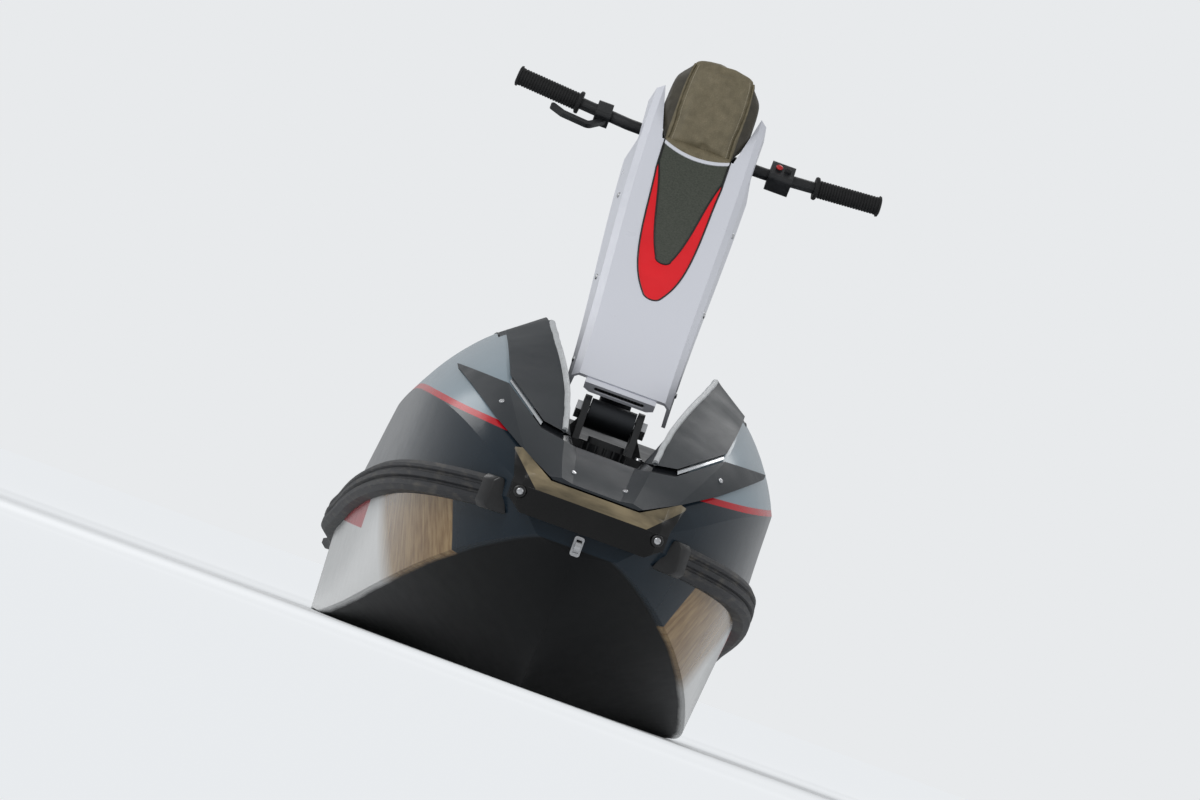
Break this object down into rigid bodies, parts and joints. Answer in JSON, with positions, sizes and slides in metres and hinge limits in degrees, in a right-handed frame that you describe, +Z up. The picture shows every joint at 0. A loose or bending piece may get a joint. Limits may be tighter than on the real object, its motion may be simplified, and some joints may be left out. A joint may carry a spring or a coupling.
{
  "type": "stand up personal watercraft",
  "caption": "One-rider jet boat ridden standing up: V hull, open tray, engine under a hood and a pivoting handle pole with handlebar.",
  "frame": {"origin": "on the running waterline, on the centreline, at mid length; 90 mm above the keel", "axes": "bow towards -Y, stern towards +Y, port side +X, +Z up"},
  "size_m": [0.7676, 2.655, 1.2709],
  "materials": {
    "hull_gelcoat": "gloss gelcoat over glass fibre, black bottom",
    "deck_gelcoat": "gloss gelcoat, pale blue-grey over slate with a red pinstripe",
    "cowl_plastic": "moulded charcoal plastic, fine grain",
    "hood_plastic": "moulded charcoal composite, satin",
    "bumper_plastic": "glossy near-black moulding",
    "rail_rubber": "ribbed dark grey rubber",
    "duct_silver": "bright metallic finish",
    "engine_metal": "cast, painted dull",
    "black_plastic": "moulded black plastic",
    "bracket_metal": "black powder coat",
    "steel": "stainless",
    "arm_metal": "dark anodised",
    "pole_white": "gloss white moulding",
    "pole_grey": "dark grey textured inlay",
    "pole_red": "gloss red inlay",
    "pad_foam": "textured dark foam pad",
    "bar_metal": "black anodised tube",
    "grip_rubber": "ribbed rubber",
    "mat_foam": "grooved foam traction mat",
    "pump_metal": "cast and machined",
    "plate_metal": "black coated plate"
  },
  "bodies": {
    "root": {"hull": "hull_gelcoat", "deck": "deck_gelcoat", "engine_hood": "hood_plastic", "engine_block": "engine_metal", "shoulder_fairing_port": "cowl_plastic", "shoulder_fairing_starboard": "cowl_plastic", "nose_cowl": "cowl_plastic", "duct_inlet_port": "duct_silver", "duct_inlet_starboard": "duct_silver", "nose_bumper": "bumper_plastic", "bumper_caps": "steel", "rub_rail_port": "rail_rubber", "rub_rail_starboard": "rail_rubber", "tray_mat": "mat_foam", "gunwale_pad_port": "mat_foam", "gunwale_pad_starboard": "mat_foam", "bow_eye": "steel", "stern_eye_port": "steel", "stern_eye_starboard": "steel", "fuel_cap": "black_plastic", "pole_bracket": "bracket_metal", "pole_pivot_shaft": "steel", "pole_rest": "grip_rubber", "hood_latches": "steel", "pump_housing": "pump_metal", "nozzle_pins": "steel", "ride_plate": "plate_metal", "intake_grate": "pump_metal", "exhaust_outlet": "black_plastic", "drain_plugs": "black_plastic"},
    "impeller": {"impeller": "steel", "drive_shaft": "steel"},
    "nozzle": {"steering_nozzle": "pump_metal"},
    "pole": {"pole_arm": "arm_metal", "pole_cover": "pole_white", "pole_insert": "pole_grey", "pole_trim": "pole_red", "pole_pad": "pad_foam", "pole_vent": "pole_white"},
    "handlebar": {"handlebar": "bar_metal", "steering_stem": "steel", "bar_clamp": "bracket_metal", "grip_port": "grip_rubber", "grip_starboard": "grip_rubber", "throttle_lever": "bracket_metal", "switch_housing": "black_plastic"}
  },
  "joints": [
    {"name": "pole_pivot", "type": "hinge", "parent": "root", "child": "pole", "pos_m": [0, -0.7075, 0.5], "axis": [1, 0, 0], "range_deg": [-34, 25]},
    {"name": "steering", "type": "hinge", "parent": "pole", "child": "handlebar", "pos_m": [0, -0.10232, 1.0078], "axis": [0, -0.6428, 0.766], "range_deg": [-25, 25]},
    {"name": "nozzle_steer", "type": "hinge", "parent": "root", "child": "nozzle", "pos_m": [0, 1.1435, 0.022], "axis": [0, 0, 1], "range_deg": [-20, 20]},
    {"name": "impeller_spin", "type": "hinge", "parent": "root", "child": "impeller", "pos_m": [0, 0.8175, 0.022], "axis": [0, 1, 0], "continuous": true}
  ],
  "couplings": [
    {"joint": "nozzle_steer", "follows": "steering", "ratio": -0.8}
  ]
}
